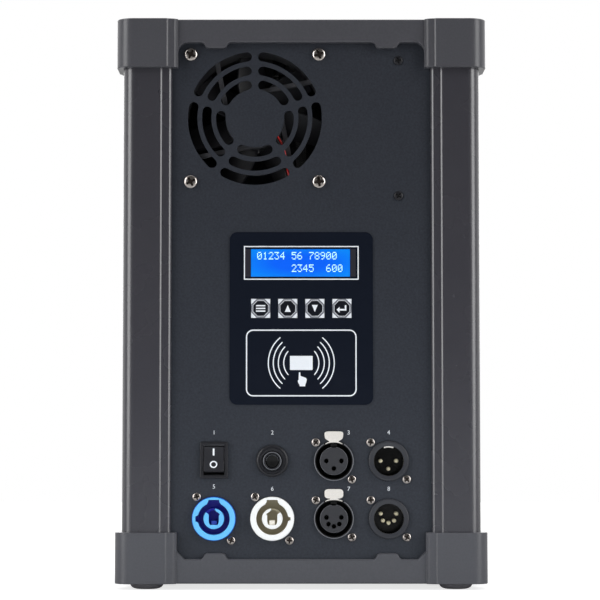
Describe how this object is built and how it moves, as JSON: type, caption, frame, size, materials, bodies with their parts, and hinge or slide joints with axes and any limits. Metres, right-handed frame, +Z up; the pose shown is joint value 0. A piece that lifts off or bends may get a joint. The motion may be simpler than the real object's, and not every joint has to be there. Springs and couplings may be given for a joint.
{
  "type": "cold spark machine",
  "caption": "Upright box-shaped stage spark machine with a top nozzle, granule hopper, control face, cooling fan and link sockets.",
  "frame": {"origin": "on the floor at the middle of the footprint", "axes": "+Z up, -Y out of the control face, +X to the right seen from the front"},
  "size_m": [0.206, 0.206, 0.3168],
  "materials": {
    "powder_coat": "fine textured satin powder coat",
    "post_coat": "satin coated aluminium extrusion",
    "frame_moulding": "matt moulded plastic",
    "foot_rubber": "matt",
    "film_ink": "satin polyester film",
    "key_ink": "printed satin film",
    "display_blue": "backlit glass window",
    "circuit_green": "solder mask",
    "satin_black": "satin moulded plastic",
    "inlet_blue": "satin moulded plastic",
    "outlet_white": "satin moulded plastic",
    "latch_nickel": "bright nickel plate",
    "contact_gold": "gold plate",
    "zinc_steel": "bright zinc plate",
    "stainless": "brushed stainless steel",
    "lead_red": "insulation",
    "copper": "bare copper",
    "ceramic_white": "matt ceramic fibre"
  },
  "bodies": {
    "case": {"control_panel": "powder_coat", "rear_panel": "powder_coat", "left_panel": "powder_coat", "right_panel": "powder_coat", "top_plate": "powder_coat", "base_plate": "powder_coat", "corner_post_front_left": "post_coat", "corner_post_front_right": "post_coat", "corner_post_rear_left": "post_coat", "corner_post_rear_right": "post_coat", "top_frame": "frame_moulding", "bottom_frame": "frame_moulding", "foot_front_left": "foot_rubber", "foot_front_right": "foot_rubber", "foot_rear_left": "foot_rubber", "foot_rear_right": "foot_rubber", "keypad_overlay": "film_ink", "display_module": "display_blue", "control_board": "circuit_green", "induction_driver": "circuit_green", "rocker_housing": "satin_black", "breaker_body": "satin_black", "data_out_3pin_shell": "satin_black", "data_out_5pin_shell": "satin_black", "data_in_3pin_shell": "satin_black", "data_in_5pin_shell": "satin_black", "fan_frame": "satin_black", "blower_housing": "satin_black", "auger_housing": "satin_black", "power_in_socket": "inlet_blue", "power_out_socket": "outlet_white", "data_in_3pin_contacts": "contact_gold", "data_in_5pin_contacts": "contact_gold", "fan_screw_1": "zinc_steel", "fan_screw_2": "zinc_steel", "fan_screw_3": "zinc_steel", "fan_screw_4": "zinc_steel", "lid_hinge_pin": "zinc_steel", "chassis_deck": "zinc_steel", "power_supply": "zinc_steel", "feed_gearmotor": "zinc_steel", "nozzle_ring": "stainless", "chimney_tube": "stainless", "heating_tube": "stainless", "hopper": "stainless", "fan_lead": "lead_red", "induction_coil": "copper", "insulation_sleeve": "ceramic_white"},
    "fan_spinner": {"fan_rotor": "satin_black"},
    "blower_wheel": {"blower_impeller": "satin_black"},
    "auger_screw": {"feed_auger": "stainless"},
    "lid": {"hopper_lid": "powder_coat"},
    "menu_key": {"key_menu": "key_ink"},
    "up_key": {"key_up": "key_ink"},
    "down_key": {"key_down": "key_ink"},
    "enter_key": {"key_enter": "key_ink"},
    "switch_paddle": {"rocker_paddle": "satin_black"},
    "reset_button": {"breaker_button": "satin_black"},
    "latch_3pin": {"data_out_3pin_latch": "latch_nickel"},
    "latch_5pin": {"data_out_5pin_latch": "latch_nickel"}
  },
  "joints": [
    {"name": "menu_key_press", "type": "slide", "parent": "case", "child": "menu_key", "axis": [0, 1, 0], "range_m": [0, 0.0005], "stiffness_N_per_m": 300},
    {"name": "up_key_press", "type": "slide", "parent": "case", "child": "up_key", "axis": [0, 1, 0], "range_m": [0, 0.0005], "stiffness_N_per_m": 300},
    {"name": "down_key_press", "type": "slide", "parent": "case", "child": "down_key", "axis": [0, 1, 0], "range_m": [0, 0.0005], "stiffness_N_per_m": 300},
    {"name": "enter_key_press", "type": "slide", "parent": "case", "child": "enter_key", "axis": [0, 1, 0], "range_m": [0, 0.0005], "stiffness_N_per_m": 300},
    {"name": "rocker_tilt", "type": "hinge", "parent": "case", "child": "switch_paddle", "pos_m": [-0.0483, -0.0943, 0.0712], "axis": [1, 0, 0], "range_deg": [0, 20]},
    {"name": "breaker_pop", "type": "slide", "parent": "case", "child": "reset_button", "axis": [0, -1, 0], "range_m": [0, 0.005]},
    {"name": "latch_3pin_press", "type": "slide", "parent": "case", "child": "latch_3pin", "axis": [0, 1, 0], "range_m": [0, 0.0008], "stiffness_N_per_m": 400},
    {"name": "latch_5pin_press", "type": "slide", "parent": "case", "child": "latch_5pin", "axis": [0, 1, 0], "range_m": [0, 0.0008], "stiffness_N_per_m": 400},
    {"name": "fan_spin", "type": "hinge", "parent": "case", "child": "fan_spinner", "pos_m": [-0.0259, -0.0815, 0.2617], "axis": [0, 1, 0], "continuous": true},
    {"name": "blower_spin", "type": "hinge", "parent": "case", "child": "blower_wheel", "pos_m": [-0.013, 0, 0.0341], "axis": [0, 1, 0], "continuous": true},
    {"name": "auger_spin", "type": "hinge", "parent": "case", "child": "auger_screw", "pos_m": [0.038, 0, 0.2013], "axis": [1, 0, 0], "continuous": true},
    {"name": "hopper_lid_hinge", "type": "hinge", "parent": "case", "child": "lid", "pos_m": [0.057, 0.0277, 0.3143], "axis": [-1, 0, 0], "range_deg": [0, 105]}
  ]
}
